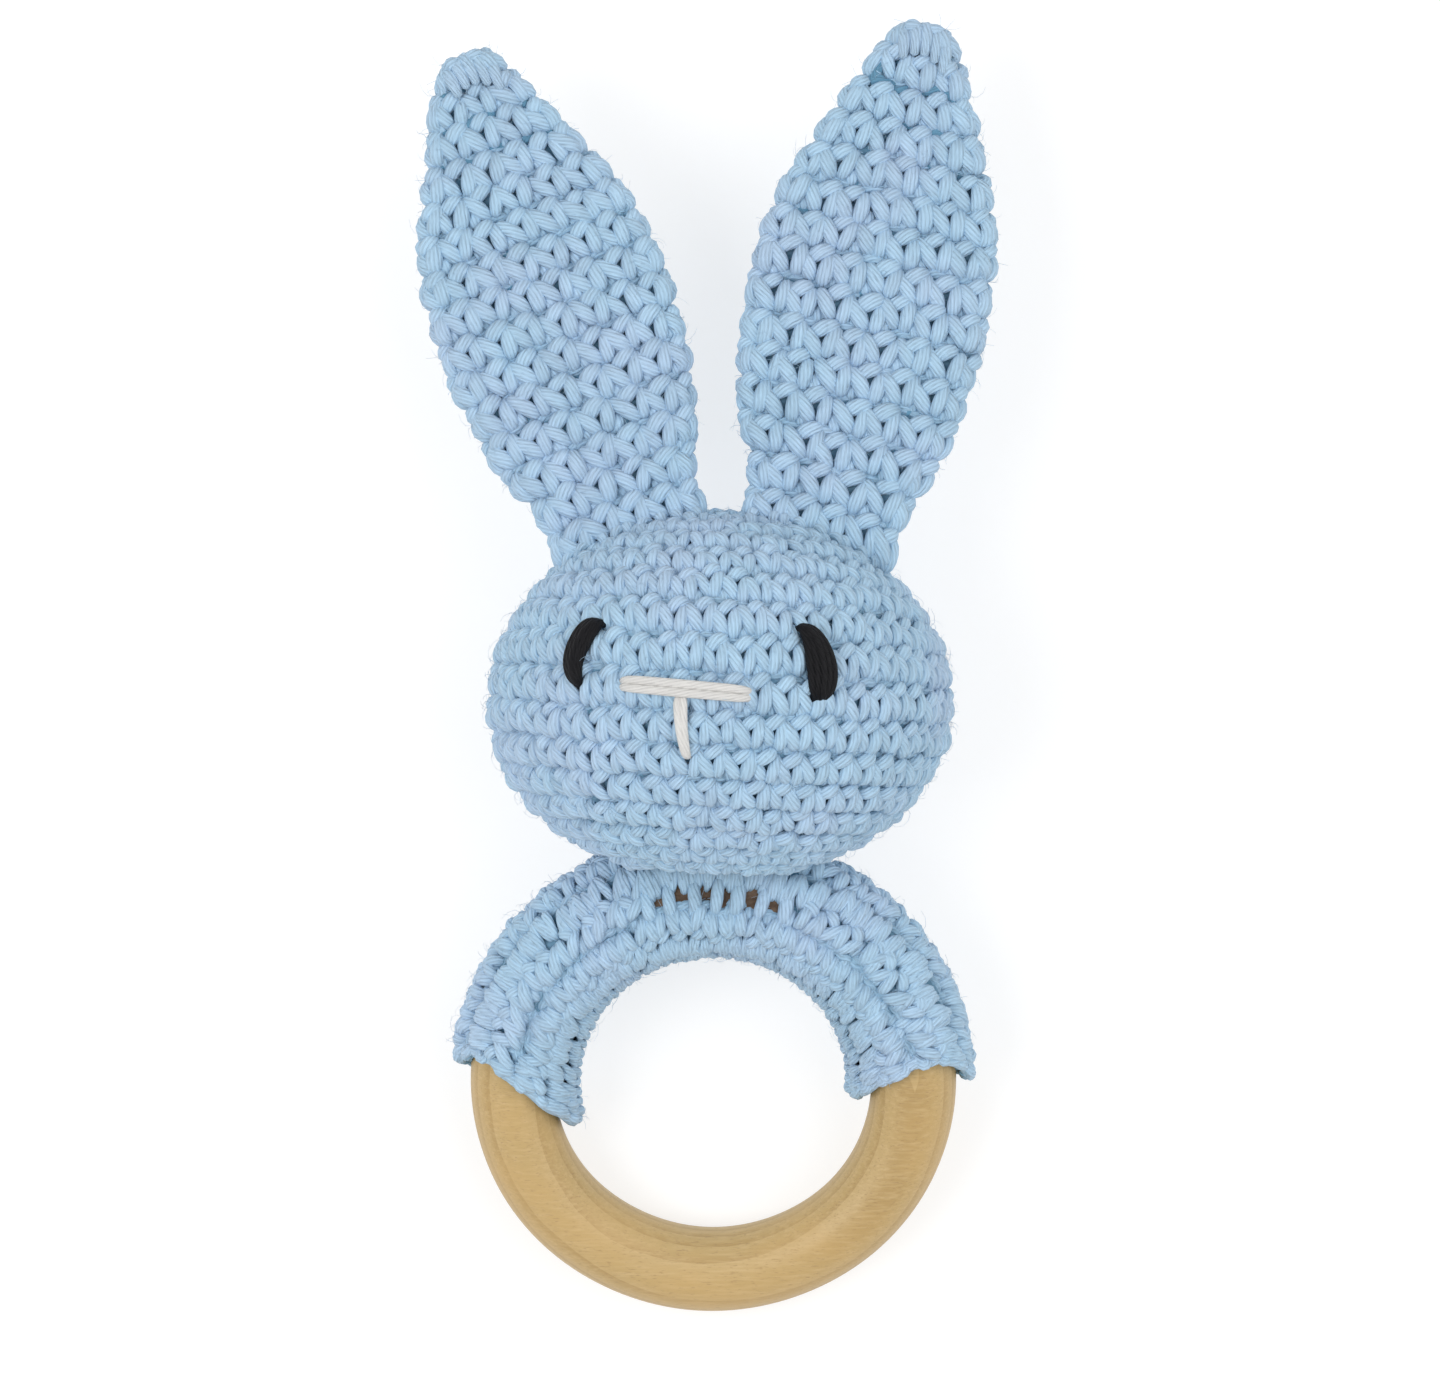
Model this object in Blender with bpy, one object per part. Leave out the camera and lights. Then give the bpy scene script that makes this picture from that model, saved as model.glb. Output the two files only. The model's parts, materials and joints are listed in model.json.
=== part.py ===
"""Crocheted rabbit teething ring, lying on its back.

A plain wooden ring turns inside a crocheted sleeve. A stuffed rabbit head with a rattle capsule is
sewn to the top of the sleeve, and two flat ears are sewn to the head's crown.

+X points to the right of the face, +Y towards the ears and +Z out of the face. The origin is the
centre of the small flat that the back of the head rests on.
"""

from math import cos, pi, radians, sin, sqrt, tau

import bmesh
import bpy
from mathutils import Matrix, Vector

MM = 0.001
GAP = 0.3 * MM  # between pieces that touch

# Wooden ring
RING_OUTER_DIAMETER = 71 * MM
BAR_RADIUS = 6.25 * MM
RING_RADIUS = RING_OUTER_DIAMETER / 2 - BAR_RADIUS  # of the bar's centre line
RING_TILT = radians(17)  # the ring leans up against the head
RING_LOWEST_Y = -85.3 * MM  # centre line at the end that lies on the table
RING_X = -1.0 * MM

# Crocheted sleeve round the upper half of the ring
SLEEVE_START = radians(-2.8)  # angles from +X, counter-clockwise, at the bar's centre line
SLEEVE_END = radians(186.5)
SLEEVE_START_SLANT = radians(3.6)  # each end reaches further along the side of the hole
SLEEVE_END_SLANT = radians(11.1)
SLEEVE_FRONT_PULL = radians(12)  # each end is drawn back along its front
SLEEVE_BORE = BAR_RADIUS + 0.5 * MM
SLEEVE_HALF_WIDTH = 9.1 * MM  # in the ring's plane
SLEEVE_HALF_DEPTH = 8.5 * MM  # across the ring's plane
SLEEVE_SHIFT = -0.2 * MM  # the yarn bunches towards the hole

# Stuffed head: an egg with its poles on Y
HEAD_CENTRE = Vector((0, -2, 30)) * MM
HEAD_HALF_WIDTH = 33.2 * MM
HEAD_HALF_DEPTH = 30.9 * MM
HEAD_ABOVE = 27.5 * MM
HEAD_BELOW = 25.5 * MM
HEAD_NECK_PLANE = -22.6 * MM  # below the centre, where the egg is cut flat
HEAD_WALL = 2.8 * MM

# Neck: the head rocks round the ring's bar on the sewn yarn
NECK_ROOM = 2.5 * MM  # between the sleeve and the head's groove
NECK_SEAM_GAP = 1.3 * MM  # the sleeve curves away under the straight seam as the head leans
NECK_SEAM_THICKNESS = 0.9 * MM
NECK_SEAM_HALF_WIDTH = 13 * MM
NECK_SEAM_ANGLE = radians(40)  # each way from the ring's outward direction
NECK_OPENING_RADIUS = 7.5 * MM

# Rattle capsule inside the stuffing
CAPSULE_RADIUS = 12.5 * MM
CAPSULE_WALL = 1.2 * MM
POCKET_RADIUS = CAPSULE_RADIUS + 3 * GAP
POCKET_MOUTH_RADIUS = 6 * MM
PELLET_RADIUS = 2 * MM
PELLET_CIRCLE = 2.7 * MM
PELLET_COUNT = 3

# Ears: flat crocheted paddles
EAR_THICKNESS = 5 * MM
EAR_SEAT_Z = 33 * MM
EAR_CLEARANCE = 5.0 * MM  # from the crown to the fold line
EAR_DROOP = radians(6)
# Share of the ear's length from the fold line, and half the ear's width there in millimetres
EAR_OUTLINE = ((0, 11.4), (0.2, 16.0), (0.42, 17.4), (0.62, 15.9), (0.82, 10.2), (1, 3.6))
EAR_TIP_LENGTH = 1.6 * MM
LEFT_EAR = {"seat_x": -13.1 * MM, "lean": radians(19.3), "length": 66.5 * MM}
RIGHT_EAR = {"seat_x": 14.3 * MM, "lean": radians(-12.0), "length": 69 * MM}

# Sewing yarn and embroidery
SEAM_RADIUS = 0.6 * MM
STRAND_RADIUS = 0.65 * MM

AROUND_HEAD = 36
DOWN_HEAD = 18
AROUND_BAR = 14
ALONG_RING = 44

RING_CENTRE = Vector(
    (
        RING_X,
        RING_LOWEST_Y + RING_RADIUS * cos(RING_TILT),
        BAR_RADIUS + RING_RADIUS * sin(RING_TILT),
    )
)
RING_UP = Vector((0, cos(RING_TILT), sin(RING_TILT)))
NECK_PIVOT = RING_CENTRE + RING_RADIUS * RING_UP
GROOVE_RADIUS = SLEEVE_HALF_WIDTH + SLEEVE_SHIFT + NECK_ROOM


def clear_scene():
    for old in list(bpy.data.objects):
        bpy.data.objects.remove(old)


def make_material(name, colour, roughness):
    material = bpy.data.materials.new(name)
    material.use_nodes = True
    shader = material.node_tree.nodes["Principled BSDF"]
    shader.inputs["Base Color"].default_value = (*colour, 1)
    shader.inputs["Roughness"].default_value = roughness
    shader.inputs["Metallic"].default_value = 0
    material.diffuse_color = (*colour, 1)
    return material


def add_object(name, bm, material, location=(0, 0, 0), parent=None):
    """Turns bm into a smooth-shaded object. location is in world coordinates."""
    bmesh.ops.recalc_face_normals(bm, faces=bm.faces)
    mesh = bpy.data.meshes.new(name)
    bm.to_mesh(mesh)
    bm.free()
    mesh.shade_smooth()
    mesh.set_sharp_from_angle(angle=radians(40))
    mesh.materials.append(material)
    made = bpy.data.objects.new(name, mesh)
    bpy.context.scene.collection.objects.link(made)
    made.parent = parent
    made.location = Vector(location) - (parent.location if parent else Vector())
    return made


def add_pivot(name, location):
    pivot = bpy.data.objects.new(name, None)
    pivot.empty_display_size = 5 * MM
    pivot.location = location
    bpy.context.scene.collection.objects.link(pivot)
    return pivot


def cut(target, cutter):
    """Takes the cutter's shape out of target with a Boolean modifier."""
    cutter.hide_render = True
    cutter.display_type = "WIRE"
    modifier = target.modifiers.new("cut_" + cutter.name, "BOOLEAN")
    modifier.operation = "DIFFERENCE"
    modifier.solver = "EXACT"
    modifier.object = cutter


def loft(rings, closed=False):
    """A mesh through rings of the same number of points, with flat ends unless it closes on itself."""
    bm = bmesh.new()
    rows = [[bm.verts.new(point) for point in ring] for ring in rings]
    pairs = list(zip(rows, rows[1:]))
    if closed:
        pairs.append((rows[-1], rows[0]))
    else:
        bm.faces.new(rows[0])
        bm.faces.new(rows[-1])
    for one, other in pairs:
        for i in range(len(one)):
            j = (i + 1) % len(one)
            bm.faces.new((one[i], one[j], other[j], other[i]))
    return bm


def tube(points, width, thickness, face_normal, sides=8):
    """A tube of oval section along points. width and face_normal are functions of the place 0 to 1."""
    rings = []
    last = len(points) - 1
    for i, point in enumerate(points):
        along = (points[min(i + 1, last)] - points[max(i - 1, 0)]).normalized()
        up = face_normal(i / last)
        side = along.cross(up).normalized()
        up = side.cross(along)
        ring = []
        for k in range(sides):
            angle = tau * k / sides
            ring.append(point + side * cos(angle) * width(i / last) + up * sin(angle) * thickness)
        rings.append(ring)
    return loft(rings)


def cylinder(start, direction, radius, length, sides=32):
    """A closed cylinder from start along direction."""
    bm = bmesh.new()
    turn = direction.to_track_quat("Z", "Y").to_matrix().to_4x4()
    middle = Matrix.Translation(start + direction.normalized() * length / 2)
    bmesh.ops.create_cone(
        bm,
        cap_ends=True,
        segments=sides,
        radius1=radius,
        radius2=radius,
        depth=length,
        matrix=middle @ turn,
    )
    return bm


def slice_off(bm, point, normal):
    """Cuts the mesh flat at a plane and closes it, keeping the side that the normal points away from."""
    found = bmesh.ops.bisect_plane(
        bm,
        geom=bm.verts[:] + bm.edges[:] + bm.faces[:],
        plane_co=point,
        plane_no=normal,
        clear_outer=True,
    )
    rim = [part for part in found["geom_cut"] if isinstance(part, bmesh.types.BMEdge)]
    bmesh.ops.edgeloop_fill(bm, edges=rim)


def ring_point(angle, outward, height):
    """A point near the ring's bar, relative to the ring's centre: outward from the bar's centre line in the
    ring's plane, and height across that plane."""
    radius = RING_RADIUS + outward
    in_plane = Vector((1, 0, 0)) * cos(angle) + RING_UP * sin(angle)
    across = Vector((1, 0, 0)).cross(RING_UP)
    return in_plane * radius + across * height


def make_wooden_ring(wood):
    rings = []
    for i in range(ALONG_RING):
        angle = tau * i / ALONG_RING - pi / 2
        turns = [tau * k / AROUND_BAR for k in range(AROUND_BAR)]
        rings.append([ring_point(angle, BAR_RADIUS * cos(turn), BAR_RADIUS * sin(turn)) for turn in turns])
    return add_object("wooden_ring", loft(rings, closed=True), wood, RING_CENTRE)


def sleeve_angle(place, turn):
    """The ring angle at a place 0 to 1 along the sleeve. turn runs round the bar from its outer side over the
    front."""
    inwardness = -cos(turn)
    pull = SLEEVE_FRONT_PULL * max(0, sin(turn))
    start = SLEEVE_START - SLEEVE_START_SLANT * inwardness + pull
    end = SLEEVE_END + SLEEVE_END_SLANT * inwardness - pull
    return start + (end - start) * place


def make_ring_sleeve(yarn):
    """A thick half-torus with slanted ends and the bar's bore through it."""
    steps = 24
    bm = bmesh.new()
    rows = []
    for i in range(steps + 1):
        outer = []
        inner = []
        for k in range(AROUND_BAR):
            turn = tau * k / AROUND_BAR
            out = cos(turn)
            up = sin(turn)
            angle = sleeve_angle(i / steps, turn)
            surface = ring_point(angle, SLEEVE_SHIFT + SLEEVE_HALF_WIDTH * out, SLEEVE_HALF_DEPTH * up)
            outer.append(bm.verts.new(surface))
            inner.append(bm.verts.new(ring_point(angle, SLEEVE_BORE * out, SLEEVE_BORE * up)))
        rows.append((outer, inner))
    for k in range(AROUND_BAR):
        j = (k + 1) % AROUND_BAR
        for row, following in zip(rows, rows[1:]):
            for side in (0, 1):
                bm.faces.new((row[side][k], row[side][j], following[side][j], following[side][k]))
        for row in (rows[0], rows[-1]):
            bm.faces.new((row[0][k], row[0][j], row[1][j], row[1][k]))
    return add_object("ring_sleeve", bm, yarn, RING_CENTRE)


def make_sleeve_seam(yarn):
    """The strand that closes the sleeve along the side of the hole."""
    outward = SLEEVE_SHIFT - SLEEVE_HALF_WIDTH - GAP - SEAM_RADIUS
    margin = 0.02  # share of the sleeve's length left free at each end
    steps = 24
    points = []
    for i in range(steps + 1):
        place = margin + (1 - 2 * margin) * i / steps
        points.append(ring_point(sleeve_angle(place, pi), outward, 0))
    across = Vector((1, 0, 0)).cross(RING_UP)
    bm = tube(points, lambda place: SEAM_RADIUS, SEAM_RADIUS, lambda place: across, sides=6)
    return add_object("sleeve_seam", bm, yarn, RING_CENTRE)


def make_neck_seam(yarn, pivot):
    """A saddle of sewing yarn over the top of the sleeve, curved round the bar's centre line."""
    inner = SLEEVE_HALF_WIDTH + SLEEVE_SHIFT + NECK_SEAM_GAP
    outer = inner + NECK_SEAM_THICKNESS
    steps = 8
    rings = []
    for i in range(steps + 1):
        angle = -NECK_SEAM_ANGLE + 2 * NECK_SEAM_ANGLE * i / steps
        out = Matrix.Rotation(angle, 3, "X") @ RING_UP
        half_width = NECK_SEAM_HALF_WIDTH * sqrt(1 - (0.75 * angle / NECK_SEAM_ANGLE) ** 2)
        side = Vector((half_width, 0, 0))
        rings.append([out * inner - side, out * inner + side, out * outer + side, out * outer - side])
    return add_object("neck_seam", loft(rings), yarn, NECK_PIVOT, pivot)


def head_egg(inset):
    """The head's egg shape, inset below its surface, centred on the head's centre."""
    bm = bmesh.new()
    bmesh.ops.create_uvsphere(bm, u_segments=AROUND_HEAD, v_segments=DOWN_HEAD, radius=1)
    bmesh.ops.rotate(bm, verts=bm.verts, cent=(0, 0, 0), matrix=Matrix.Rotation(pi / 2, 3, "X"))
    for vert in bm.verts:
        half_height = HEAD_ABOVE if vert.co.y > 0 else HEAD_BELOW
        vert.co.x *= HEAD_HALF_WIDTH - inset
        vert.co.y *= half_height - inset
        vert.co.z *= HEAD_HALF_DEPTH - inset
    slice_off(bm, (0, 0, inset - HEAD_CENTRE.z), (0, 0, -1))
    slice_off(bm, (0, HEAD_NECK_PLANE + inset, 0), (0, -1, 0))
    return bm


def head_surface(direction, lift=0.0):
    """The point of the egg in a direction from its centre, raised by lift along the surface's normal."""
    half_height = HEAD_ABOVE if direction.y > 0 else HEAD_BELOW
    halves = Vector((HEAD_HALF_WIDTH, half_height, HEAD_HALF_DEPTH))
    scaled = Vector((direction.x / halves.x, direction.y / halves.y, direction.z / halves.z))
    point = direction / scaled.length
    normal = Vector((point.x / halves.x**2, point.y / halves.y**2, point.z / halves.z**2)).normalized()
    return HEAD_CENTRE + point + normal * lift, normal


def face_point(x, y, lift):
    """A point on the front of the head above the place (x, y), both in world coordinates."""
    across = x - HEAD_CENTRE.x
    up = y - HEAD_CENTRE.y
    half_height = HEAD_ABOVE if up > 0 else HEAD_BELOW
    rest = 1 - (across / HEAD_HALF_WIDTH) ** 2 - (up / half_height) ** 2
    return head_surface(Vector((across, up, HEAD_HALF_DEPTH * sqrt(rest))), lift)


def groove_cutter(name, radius, material):
    start = NECK_PIVOT - Vector((60 * MM, 0, 0))
    return add_object(name, cylinder(start, Vector((1, 0, 0)), radius, 120 * MM), material)


def make_head_shell(yarn, pivot):
    """The crocheted cover, open where it is sewn to the sleeve."""
    shell = add_object("head_shell", head_egg(0), yarn, HEAD_CENTRE, pivot)
    cavity = add_object("head_cavity_cutter", head_egg(HEAD_WALL), yarn, HEAD_CENTRE)
    cut(cavity, groove_cutter("cavity_groove_cutter", GROOVE_RADIUS + HEAD_WALL, yarn))
    opening = cylinder(NECK_PIVOT, RING_UP, NECK_OPENING_RADIUS, 20 * MM, 24)
    cut(shell, groove_cutter("neck_groove_cutter", GROOVE_RADIUS, yarn))
    cut(shell, cavity)
    cut(shell, add_object("neck_opening_cutter", opening, yarn))
    return shell


def make_head_stuffing(fill, pivot):
    """The fibre filling, with the pocket that holds the rattle capsule and the slit it went in by."""
    inset = HEAD_WALL + GAP
    stuffing = add_object("head_stuffing", head_egg(inset), fill, HEAD_CENTRE, pivot)
    cut(stuffing, groove_cutter("stuffing_groove_cutter", GROOVE_RADIUS + inset, fill))
    pocket = bmesh.new()
    bmesh.ops.create_uvsphere(pocket, u_segments=24, v_segments=12, radius=POCKET_RADIUS)
    cut(stuffing, add_object("pocket_cutter", pocket, fill, HEAD_CENTRE))
    towards_neck = NECK_PIVOT - HEAD_CENTRE
    mouth = cylinder(HEAD_CENTRE, towards_neck, POCKET_MOUTH_RADIUS, 30 * MM, 20)
    cut(stuffing, add_object("pocket_mouth_cutter", mouth, fill))
    return stuffing


def make_capsule_half(name, plastic, pivot, facing):
    """One bowl of the rattle capsule. facing is 1 for the front bowl and -1 for the back one."""
    steps = 7
    inner_radius = CAPSULE_RADIUS - CAPSULE_WALL
    profile = []
    for radius, order in ((CAPSULE_RADIUS, range(steps + 1)), (inner_radius, range(steps, -1, -1))):
        for i in order:
            angle = pi / 2 * (1 - i / steps)
            reach = 0 if i == 0 else radius * cos(angle)
            profile.append(Vector((reach, 0, facing * (radius * sin(angle) + GAP / 2))))
    bm = bmesh.new()
    verts = [bm.verts.new(point) for point in profile]
    edges = [bm.edges.new(pair) for pair in zip(verts, verts[1:])]
    bmesh.ops.spin(
        bm, geom=verts + edges, cent=(0, 0, 0), axis=(0, 0, 1), angle=tau, steps=24, use_merge=True
    )
    bmesh.ops.remove_doubles(bm, verts=bm.verts, dist=MM / 1000)
    return add_object(name, bm, plastic, HEAD_CENTRE, pivot)


def make_pellets(plastic, capsule):
    """Loose balls resting in the back of the capsule."""
    reach = CAPSULE_RADIUS - CAPSULE_WALL - PELLET_RADIUS - GAP
    depth = sqrt(reach**2 - PELLET_CIRCLE**2)
    for i in range(PELLET_COUNT):
        angle = tau * i / PELLET_COUNT + pi / 2
        offset = Vector((PELLET_CIRCLE * cos(angle), PELLET_CIRCLE * sin(angle), -depth))
        bm = bmesh.new()
        bmesh.ops.create_icosphere(bm, subdivisions=2, radius=PELLET_RADIUS)
        add_object(f"rattle_pellet_{i + 1}", bm, plastic, capsule + offset)


def smooth_curve(controls, count):
    """count points along a Catmull-Rom curve through the control points."""
    ends = [2 * controls[0] - controls[1], *controls, 2 * controls[-1] - controls[-2]]
    points = []
    for i in range(count):
        place = (len(controls) - 1) * i / (count - 1)
        step = min(int(place), len(controls) - 2)
        t = place - step
        a, b, c, d = ends[step : step + 4]
        points.append(
            0.5
            * (2 * b + (c - a) * t + (2 * a - 5 * b + 4 * c - d) * t**2 + (3 * b - a - 3 * c + d) * t**3)
        )
    return points


def make_face_piece(name, material, pivot, places, width, thickness, lift, count=12):
    """Embroidery yarn lying on the front of the head along places, in millimetres."""
    curve = smooth_curve([Vector((x, y, 0)) * MM for x, y in places], count)
    laid = [face_point(p.x, p.y, lift + thickness) for p in curve]
    points = [point for point, normal in laid]
    normals = [normal for point, normal in laid]
    bm = tube(
        [point - HEAD_CENTRE for point in points],
        width,
        thickness,
        lambda place: normals[round(place * (count - 1))],
    )
    return add_object(name, bm, material, HEAD_CENTRE, pivot)


def make_face(black, white, pivot):
    left_eye = ((-16.4, 9.7), (-18.7, 7.2), (-20.0, 3.9), (-19.6, 0.8))
    right_eye = ((11.2, 9.0), (13.0, 6.2), (13.9, 2.4), (13.4, -1.3))

    def narrowing_width(place):
        return (2.2 - 0.6 * place) * MM * sqrt(max(0.08, 1 - abs(2 * place - 1) ** 4))

    def drop_width(place):
        return (1.6 + 1.3 * place) * MM * sqrt(max(0.08, 1 - abs(2 * place - 1) ** 4))

    make_face_piece("left_eye", black, pivot, left_eye, narrowing_width, 0.7 * MM, GAP)
    make_face_piece("right_eye", black, pivot, right_eye, drop_width, 0.7 * MM, GAP)

    def strand_width(place):
        return STRAND_RADIUS

    half_apart = STRAND_RADIUS + GAP / 2
    left_end, right_end = Vector((-13.6, 0.9)), Vector((4.2, -0.7))
    for name, side in (("nose_strand_upper", 1), ("nose_strand_lower", -1)):
        shift = Vector((0, side * half_apart / MM))
        places = (left_end + shift, (left_end + right_end) / 2 + shift, right_end + shift)
        make_face_piece(name, white, pivot, places, strand_width, STRAND_RADIUS, GAP)
    mouth = ((-5.3, -2.0), (-5.2, -5.0), (-4.6, -9.0))

    def mouth_width(place):
        return (1.0 - 0.5 * place) * MM

    make_face_piece("mouth_strand", white, pivot, mouth, mouth_width, STRAND_RADIUS, GAP)


def ear_frame(ear):
    """The ear's fold point and its directions: along the ear, across it, and out of its front."""
    across = Vector((cos(ear["lean"]), sin(ear["lean"]), 0))
    flat_along = Vector((-sin(ear["lean"]), cos(ear["lean"]), 0))
    along = flat_along * cos(EAR_DROOP) - Vector((0, 0, sin(EAR_DROOP)))
    x = ear["seat_x"] - HEAD_CENTRE.x
    z = EAR_SEAT_Z - HEAD_CENTRE.z
    y = HEAD_ABOVE * sqrt(1 - (x / HEAD_HALF_WIDTH) ** 2 - (z / HEAD_HALF_DEPTH) ** 2)
    fold = HEAD_CENTRE + Vector((x, y, z)) + along * EAR_CLEARANCE
    return fold, along, across, across.cross(along)


def make_ear(name, ear, yarn):
    """A flat paddle whose rounded lower end is centred on its fold line."""
    fold, along, across, front = ear_frame(ear)
    half = EAR_THICKNESS / 2
    length = ear["length"]
    outline = smooth_curve([Vector((share * length, width * MM, 0)) for share, width in EAR_OUTLINE], 16)
    stations = []
    for degrees in (75, 50, 25):
        back = half * sin(radians(degrees))
        stations.append((-back, outline[0].y - back / 2, half * cos(radians(degrees))))
    for point in outline:
        thinning = 0.3 * (point.x / length) ** 4
        stations.append((point.x, point.y, half * (1 - thinning)))
    stations.append((length + EAR_TIP_LENGTH, EAR_TIP_LENGTH, half / 3))
    sides = 14
    rings = []
    for u, half_width, half_depth in stations:
        ring = []
        for k in range(sides):
            turn = tau * k / sides
            # A flattened oval: the fourth root of the sine keeps the two faces nearly flat.
            depth = half_depth * (abs(sin(turn)) ** 0.5) * (1 if sin(turn) > 0 else -1)
            ring.append(along * u + across * half_width * cos(turn) + front * depth)
        rings.append(ring)
    return add_object(name, loft(rings), yarn, fold)


def make_ear_seam(name, ear, yarn, pivot):
    """The row of sewing yarn between an ear and the crown."""
    fold, along, across, front = ear_frame(ear)
    steps = 10
    half_length = 9 * MM
    points = []
    normals = []
    for i in range(steps + 1):
        place = fold - along * EAR_CLEARANCE + across * half_length * (2 * i / steps - 1)
        point, normal = head_surface(place - HEAD_CENTRE, GAP + SEAM_RADIUS)
        points.append(point - HEAD_CENTRE)
        normals.append(normal)
    bm = tube(points, lambda place: 2 * SEAM_RADIUS, SEAM_RADIUS, lambda place: normals[round(place * steps)])
    return add_object(name, bm, yarn, HEAD_CENTRE, pivot)


def main():
    clear_scene()
    wood = make_material("beech_wood", (0.64, 0.42, 0.20), 0.45)
    yarn = make_material("blue_cotton_yarn", (0.33, 0.53, 0.72), 0.9)
    black = make_material("black_embroidery_yarn", (0.012, 0.012, 0.016), 0.8)
    white = make_material("cream_embroidery_yarn", (0.83, 0.78, 0.68), 0.8)
    fill = make_material("polyester_filling", (0.85, 0.85, 0.85), 0.95)
    plastic = make_material("capsule_plastic", (0.80, 0.80, 0.78), 0.4)
    beads = make_material("pellet_plastic", (0.70, 0.35, 0.20), 0.4)

    make_wooden_ring(wood)
    make_ring_sleeve(yarn)
    make_sleeve_seam(yarn)

    neck_pivot = add_pivot("neck_pivot", NECK_PIVOT)
    head_pivot = add_pivot("head_pivot", NECK_PIVOT)
    make_neck_seam(yarn, neck_pivot)
    make_head_shell(yarn, head_pivot)
    make_head_stuffing(fill, head_pivot)
    make_capsule_half("rattle_case_front", plastic, head_pivot, 1)
    make_capsule_half("rattle_case_back", plastic, head_pivot, -1)
    make_pellets(beads, HEAD_CENTRE)
    make_face(black, white, head_pivot)

    for side, ear in (("left", LEFT_EAR), ("right", RIGHT_EAR)):
        make_ear(f"{side}_ear", ear, yarn)
        make_ear_seam(f"{side}_ear_seam", ear, yarn, head_pivot)


main()
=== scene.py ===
import json
from math import cos, pi, radians, sin, tau

import bmesh
import bpy
import numpy as np
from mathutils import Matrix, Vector


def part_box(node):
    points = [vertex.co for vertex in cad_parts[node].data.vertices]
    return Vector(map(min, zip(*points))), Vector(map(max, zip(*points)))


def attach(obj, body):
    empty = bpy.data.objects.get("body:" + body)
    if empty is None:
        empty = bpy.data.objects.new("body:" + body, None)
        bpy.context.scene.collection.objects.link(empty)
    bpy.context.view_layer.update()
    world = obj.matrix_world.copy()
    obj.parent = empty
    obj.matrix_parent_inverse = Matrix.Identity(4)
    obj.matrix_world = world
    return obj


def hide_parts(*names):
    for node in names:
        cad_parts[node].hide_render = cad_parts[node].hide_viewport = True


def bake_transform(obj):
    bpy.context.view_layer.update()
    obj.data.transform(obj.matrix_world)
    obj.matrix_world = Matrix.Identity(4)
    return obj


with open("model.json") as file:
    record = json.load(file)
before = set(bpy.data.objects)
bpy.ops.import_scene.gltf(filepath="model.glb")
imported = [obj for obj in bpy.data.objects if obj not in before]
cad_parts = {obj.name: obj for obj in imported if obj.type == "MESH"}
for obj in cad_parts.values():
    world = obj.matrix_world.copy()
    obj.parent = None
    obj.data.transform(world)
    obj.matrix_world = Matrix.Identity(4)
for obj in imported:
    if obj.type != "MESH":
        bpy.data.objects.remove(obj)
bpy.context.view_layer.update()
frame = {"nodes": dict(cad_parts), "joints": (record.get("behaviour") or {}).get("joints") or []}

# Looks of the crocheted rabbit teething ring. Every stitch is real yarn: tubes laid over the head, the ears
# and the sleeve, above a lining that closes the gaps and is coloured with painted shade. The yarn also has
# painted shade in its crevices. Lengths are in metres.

MM = 0.001
joints = {joint["name"]: joint for joint in frame["joints"]}

# Yarn
STRAND_RINGS = 10  # cross-sections along a strand
STRAND_SIDES = 8
STRAND_FLATNESS = 0.9
HEIGHT_UNEVENNESS = 0.14  # in yarn radii, from strand to strand
SIZE_UNEVENNESS = 0.07  # of a strand's radius
HEAD_YARN = 0.96 * MM  # radii
EAR_YARN = 1.13 * MM
SLEEVE_YARN = 0.92 * MM
LINING_DEPTH = 1.4  # below the surface, in yarn radii
FUZZ_RADIUS = 0.035 * MM
FUZZ_LENGTH = 2.4 * MM
FUZZ_RINGS = 4
FUZZ_ROOT = 1.5 * MM  # below the surface
HEAD_FIBRES, EAR_FIBRES, SLEEVE_FIBRES = 700, 800, 700  # on each sector, ear and half

# The strands of one stitch, as (u, v, height): u in stitches along the row, v in rows from its upper edge and
# height in yarn radii above the surface. A slanting and an upright leg draw together towards the lower edge,
# with a short bar across the slanting leg's upper end. Deeper strands show between this stitch and the next,
# and in the groove below the row.
SLANTING_LEG = (
    (-0.23, 0.14, -2), (-0.16, 0.23, -0.15), (0.01, 0.43, 0.5), (0.19, 0.65, 0.4), (0.31, 0.8, -0.3),
    (0.38, 0.88, -2),
)
UPRIGHT_LEG = (
    (0.76, 0.08, -2), (0.74, 0.18, -0.15), (0.7, 0.42, 0.5), (0.65, 0.67, 0.4), (0.61, 0.82, -0.3),
    (0.58, 0.92, -2),
)
BAR = ((0.04, 0.38, -1.6), (0.14, 0.27, -0.1), (0.36, 0.12, 0.4), (0.57, 0.02, 0.1), (0.68, -0.04, -1.5))
POST = ((0.93, 0.35, -1.7), (0.97, 0.58, -0.75), (1.0, 0.85, -0.65), (1.02, 1.1, -1.6))
GROOVE = ((-0.1, 0.94, -1.3), (0.2, 1.0, -0.95), (0.5, 0.94, -1.0), (0.8, 1.0, -0.95), (1.1, 0.94, -1.3))
STITCH = (SLANTING_LEG, UPRIGHT_LEG, BAR, POST, GROOVE)
ROW_SHIFT = -0.29  # of each row's stitches against the row above

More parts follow.
